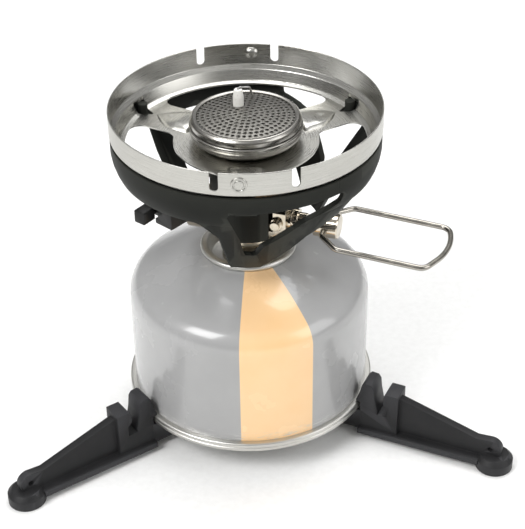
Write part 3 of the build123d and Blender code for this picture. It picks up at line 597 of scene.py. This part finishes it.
# centres of the holes: each ring has six times its number, turned a little, and leaves the sleeve free
def sievePoints(spec):
    centres = [(0.0, 0.0)]
    for ring in range(1, spec["rings"] + 1):
        for k in range(6 * ring):
            turn = 2 * math.pi * (k + spec["ringTurn"] * (ring % 3)) / (6 * ring)
            centres.append((ring * spec["pitch"] * math.cos(turn), ring * spec["pitch"] * math.sin(turn)))
    nearest = spec["insulatorHole"] + spec["insulatorMargin"]
    return [centre for centre in centres if math.dist(centre, spec["insulator"]) > nearest]


# point on the domed top of the sieve, in metres
def onDome(spec, x, y):
    rise = spec["domeRise"] * (1 - (math.hypot(x, y) / spec["rim"]) ** 2)
    return x * mm, y * mm, (spec["edgeZ"] + rise) * mm


# thin domed disc with its perforations cut right through
def makeSieve(spec):
    holes = sievePoints(spec)
    outlines = [ringPoints(0, 0, spec["rim"], 144), ringPoints(*spec["insulator"], spec["insulatorHole"], 24)]
    outlines += [ringPoints(x, y, spec["hole"], 12) for x, y in holes]
    flat, edges = [], []
    for outline in outlines:
        first = len(flat)
        flat += [Vector(point) for point in outline]
        edges += [(first + k, first + (k + 1) % len(outline)) for k in range(len(outline))]
    points, _, faces, *_ = delaunay_2d_cdt(flat, edges, [], 2, 1e-6)
    work = bmesh.new()
    upper = [work.verts.new(onDome(spec, *point)) for point in points]
    for face in faces:
        middle = sum((points[i] for i in face), Vector((0, 0))) / len(face)
        inSleeve = math.dist(middle, spec["insulator"]) < spec["insulatorHole"] * 0.99
        inHole = min(math.dist(middle, hole) for hole in holes) < spec["hole"] * 0.99
        if not (inSleeve or inHole or middle.length > spec["rim"]):
            work.faces.new([upper[i] for i in face])
    grown = bmesh.ops.extrude_face_region(work, geom=list(work.faces))
    for vert in (g for g in grown["geom"] if isinstance(g, bmesh.types.BMVert)):
        vert.co.z -= spec["sieveSheet"] * mm
    loose = [vert for vert in work.verts if not vert.link_faces]
    bmesh.ops.delete(work, geom=loose, context="VERTS")
    bmesh.ops.recalc_face_normals(work, faces=work.faces)
    mesh = bpy.data.meshes.new("burnerSieve")
    work.to_mesh(mesh)
    work.free()
    shadeSmooth(mesh, 30)
    settle(bpy.data.objects.new("burnerSieve", mesh), spec["body"], "screen_stainless", ("burner_screen",))


# slender ceramic sleeve of the electrode, rounded over at its tip
def makeInsulator(spec):
    sleeve = lathe("insulatorSleeve", roundedPath(spec["sleeve"]), 48)
    x, y = spec["insulator"]
    sleeve.data.transform(Matrix.Translation(Vector((x, y, 0)) * mm))
    settle(sleeve, spec["body"], "white_ceramic", ("ceramic_insulator",))


# small raised burr round each perforation, placed by Geometry Nodes
def makeBurrs(spec):
    mesh = bpy.data.meshes.new("burrCentres")
    mesh.from_pydata([onDome(spec, x, y) for x, y in sievePoints(spec)], [], [])
    holder = bpy.data.objects.new("sieveBurrs", mesh)
    bpy.context.scene.collection.objects.link(holder)
    tree = bpy.data.node_groups.new("burrs", "GeometryNodeTree")
    tree.interface.new_socket(name="Centres", in_out="INPUT", socket_type="NodeSocketGeometry")
    ringIn = tree.interface.new_socket(name="Ring Radius", in_out="INPUT", socket_type="NodeSocketFloat")
    wireIn = tree.interface.new_socket(name="Burr Radius", in_out="INPUT", socket_type="NodeSocketFloat")
    tree.interface.new_socket(name="Geometry", in_out="OUTPUT", socket_type="NodeSocketGeometry")
    given = addNode(tree, "NodeGroupInput", {})
    ring = addNode(tree, "GeometryNodeCurvePrimitiveCircle", {
        "Resolution": 14, "Radius": given.outputs["Ring Radius"]})
    section = addNode(tree, "GeometryNodeCurvePrimitiveCircle", {
        "Resolution": 6, "Radius": given.outputs["Burr Radius"]})
    tube = addNode(tree, "GeometryNodeCurveToMesh", {"Curve": ring, "Profile Curve": section})
    least, most = spec["burrSpread"]
    uneven = addNode(tree, "FunctionNodeRandomValue", {2: least, 3: most, "Seed": spec["burrSeed"]},
                     data_type="FLOAT")
    placed = addNode(tree, "GeometryNodeInstanceOnPoints", {
        "Points": given.outputs["Centres"], "Instance": tube, "Scale": uneven.outputs[1]})
    solid = addNode(tree, "GeometryNodeRealizeInstances", {0: placed})
    smooth = addNode(tree, "GeometryNodeSetShadeSmooth", {0: solid})
    dressed = addNode(tree, "GeometryNodeSetMaterial", {
        "Geometry": smooth, "Material": finishes["screen_stainless"]})
    addNode(tree, "NodeGroupOutput", {0: dressed})
    maker = holder.modifiers.new("burrs", "NODES")
    maker.node_group = tree
    maker[ringIn.identifier] = (spec["hole"] + spec["burrOut"]) * mm
    maker[wireIn.identifier] = spec["burr"] * mm
    graph = bpy.context.evaluated_depsgraph_get()
    result = bpy.data.meshes.new_from_object(holder.evaluated_get(graph))
    holder.modifiers.clear()
    holder.data = result
    settle(holder, spec["body"], "screen_stainless")


# spun cup with its turned seam line, and the rolled bright rim that clamps the sieve
def makeHeadShells(spec):
    cup = wall(roundedPath(spec["cup"], closed=False, steps=5), spec["cupSheet"])
    settle(lathe("burnerCup", cup, 192), spec["body"], "burner_stainless", ("burner_cup",))
    clamp = wall(roundedPath(spec["clamp"], closed=False, steps=8), spec["clampSheet"])
    settle(lathe("burnerRim", clamp, 192), spec["body"], "burner_stainless", ("burner_rim",))


makeSieve(head)
makeInsulator(head)
makeBurrs(head)
makeHeadShells(head)
print("burner head made")

# the body of each moulding, and how wide its edges are rounded, in millimetres
moulded = {
    "leg_rear": ("canister", 0.5), "leg_left": ("left_leg", 0.5), "leg_right": ("right_leg", 0.5),
    "igniter_button": ("igniter_button", 0.35), "igniter_housing": ("burner", 0.35),
    "base_shell": ("burner", 0.3),
}
for node, (body, width) in moulded.items():
    settle(bevelledCopy(node, width), body, slotOf[node], (node,))
print("moulded pieces rounded")

# azimuths in degrees, the rest in millimetres; radius and domeAt are the two faces of the pan's wall
stops = {
    "body": "burner", "azimuths": (-92.5, 87.5), "height": 122.8,
    "radius": 46.6, "ring": 2.35, "bead": 0.34,
    "pad": [(0, 0.0, 0), (0, 0.34, 0), (1.45, 0.2, 0.3), (1.6, 0.0, 0)],
    "domeAt": 46.15, "dome": 2.7, "domeRise": 1.7, "domeRoot": 0.1,
}


# each stop shows outside as a round bead with a low pad in the middle, and inside as a smooth bump
def makeStops(spec):
    for number, azimuth in enumerate(spec["azimuths"]):
        pad = lathe(f"stopPad{number}", roundedPath(spec["pad"], closed=False), 40)
        bead = lathe(f"stopBead{number}", ringPoints(spec["ring"], 0.0, spec["bead"], 12), 56)
        side = [(spec["dome"] * math.cos(k * math.pi / 20), spec["domeRise"] * math.sin(k * math.pi / 20))
                for k in range(11)]
        root = [(0, -spec["domeRoot"]), (spec["dome"], -spec["domeRoot"])]
        dome = lathe(f"stopDome{number}", side + root, 48)
        # a quarter turn round X lays the axis level, and the turn round Z points it out or in
        outside = (spec["radius"], azimuth + 90)
        inside = (spec["domeAt"], azimuth + 270)
        for piece, (radius, facing) in ((pad, outside), (bead, outside), (dome, inside)):
            turn = math.radians(azimuth)
            place = Vector((radius * math.cos(turn), radius * math.sin(turn), spec["height"])) * mm
            aim = Matrix.Rotation(math.radians(facing), 4, "Z") @ Matrix.Rotation(math.radians(90), 4, "X")
            piece.data.transform(Matrix.Translation(place) @ aim)
            settle(piece, spec["body"], "satin_stainless")


makeStops(stops)
print("stops made")

# radii from the axis, widths and heights in millimetres; least, taper and fall shape the narrow end
swages = {
    "body": "burner", "azimuths": (-90.0, 30.0, 150.0), "baseZ": 112.95,
    "near": 19.8, "rise": 4.0, "shoulder": 26.0, "tip": 36.0, "halfWidth": 6.3, "height": 1.75,
    "least": 0.03, "taper": 0.8, "fall": 0.75,
}


# smooth tear-drop embossing that stiffens each spoke of the pan
def makeSwages(spec, along=28, across=18):
    work = bmesh.new()
    for azimuth in spec["azimuths"]:
        turn = Matrix.Rotation(math.radians(azimuth), 4, "Z")
        rows = []
        for i in range(along + 1):
            radius = spec["near"] + (spec["tip"] - spec["near"]) * i / along
            past = max(0.0, (radius - spec["shoulder"]) / (spec["tip"] - spec["shoulder"]))
            width = spec["halfWidth"] * max(spec["least"], math.cos(math.pi / 2 * past)) ** spec["taper"]
            start = max(0.0, 1 - (radius - spec["near"]) / spec["rise"])
            height = spec["height"] * math.sqrt(1 - start ** 4) * (1 - spec["fall"] * past)
            row = []
            for j in range(across + 1):
                side = -1 + 2 * j / across
                z = spec["baseZ"] + height * math.sqrt(max(0.0, 1 - side ** 4))
                row.append(work.verts.new(turn @ (Vector((radius, side * width, z)) * mm)))
            rows.append(row)
        for i in range(along):
            for j in range(across):
                work.faces.new((rows[i][j], rows[i + 1][j], rows[i + 1][j + 1], rows[i][j + 1]))
        # one face closes the underside
        rim = [row[0] for row in rows] + rows[-1][1:] + [row[-1] for row in rows[-2::-1]] + rows[0][-2:0:-1]
        work.faces.new(rim[::-1])
    bmesh.ops.recalc_face_normals(work, faces=work.faces)
    mesh = bpy.data.meshes.new("spokeSwages")
    work.to_mesh(mesh)
    work.free()
    shadeSmooth(mesh, 50)
    settle(bpy.data.objects.new("spokeSwages", mesh), spec["body"], "satin_stainless")


makeSwages(swages)
print("swages made")

# half width and drop below the feet in metres
stage = {"half": 4.0, "drop": 0.0002, "dark": "#f6f6f5", "light": "#fbfbfa", "rough": 0.9}


# a wide sheet of white paper: matt, with a faint fibre
def makeStage(spec):
    half, floorZ = spec["half"], -spec["drop"]
    corners = [(-half, -half, floorZ), (half, -half, floorZ), (half, half, floorZ), (-half, half, floorZ)]
    mesh = bpy.data.meshes.new("studioFloor")
    mesh.from_pydata(corners, [], [(0, 1, 2, 3)])
    floor = bpy.data.objects.new("studioFloor", mesh)
    bpy.context.scene.collection.objects.link(floor)
    material, tree = startMaterial("paperSweep")
    fibre = addNode(tree, "ShaderNodeTexNoise", {
        "Vector": objectPlace(tree), "Scale": 0.4, "Detail": 3.0, "Roughness": 0.55})
    closeMaterial(tree, {
        "Base Color": twoTone(tree, fibre, spec["dark"], spec["light"]),
        "Roughness": spec["rough"],
        "Normal": addNode(tree, "ShaderNodeBump", {
            "Height": fibre, "Distance": 0.02 * mm, "Strength": 0.3}),
    })
    mesh.materials.append(material)


# the sky goes from dim to bright between the two heights, so bright metal has something dark to show
sky = {"dimBelow": 0.05, "brightAbove": 0.6, "dim": 0.08, "bright": 0.46}


def makeWorld(spec):
    world = bpy.data.worlds.new("studioWorld")
    world.use_nodes = True
    tree = world.node_tree
    tree.nodes.clear()
    coords = addNode(tree, "ShaderNodeTexCoord", {})
    height = addNode(tree, "ShaderNodeSeparateXYZ", {0: coords.outputs["Generated"]}).outputs[2]
    glow = addNode(tree, "ShaderNodeMapRange", {
        "Value": height, "From Min": spec["dimBelow"], "From Max": spec["brightAbove"],
        "To Min": spec["dim"], "To Max": spec["bright"]}, interpolation_type="SMOOTHSTEP")
    back = addNode(tree, "ShaderNodeBackground", {"Color": (1, 1, 1, 1), "Strength": glow})
    addNode(tree, "ShaderNodeOutputWorld", {"Surface": back})
    bpy.context.scene.world = world


# places and sizes in metres, power in watts
lamps = {
    "keyLamp": {"place": (-0.55, -0.45, 0.75), "size": 0.45, "power": 6.2},
    "fillLamp": {"place": (0.75, -0.35, 0.5), "size": 0.6, "power": 3.0},
    "topLamp": {"place": (0.1, 0.35, 0.95), "size": 0.7, "power": 5.6},
}


# every lamp looks at the middle of the stove
def makeLamps(specs, middle=(0, 0, 0.07)):
    for name, spec in specs.items():
        data = bpy.data.lights.new(name, "AREA")
        data.size = spec["size"]
        data.energy = spec["power"]
        lamp = bpy.data.objects.new(name, data)
        bpy.context.scene.collection.objects.link(lamp)
        lamp.location = spec["place"]
        aim = Vector(middle) - Vector(spec["place"])
        lamp.rotation_euler = aim.to_track_quat("-Z", "Y").to_euler()


makeStage(stage)
makeWorld(sky)
makeLamps(lamps)
print("stage lit")
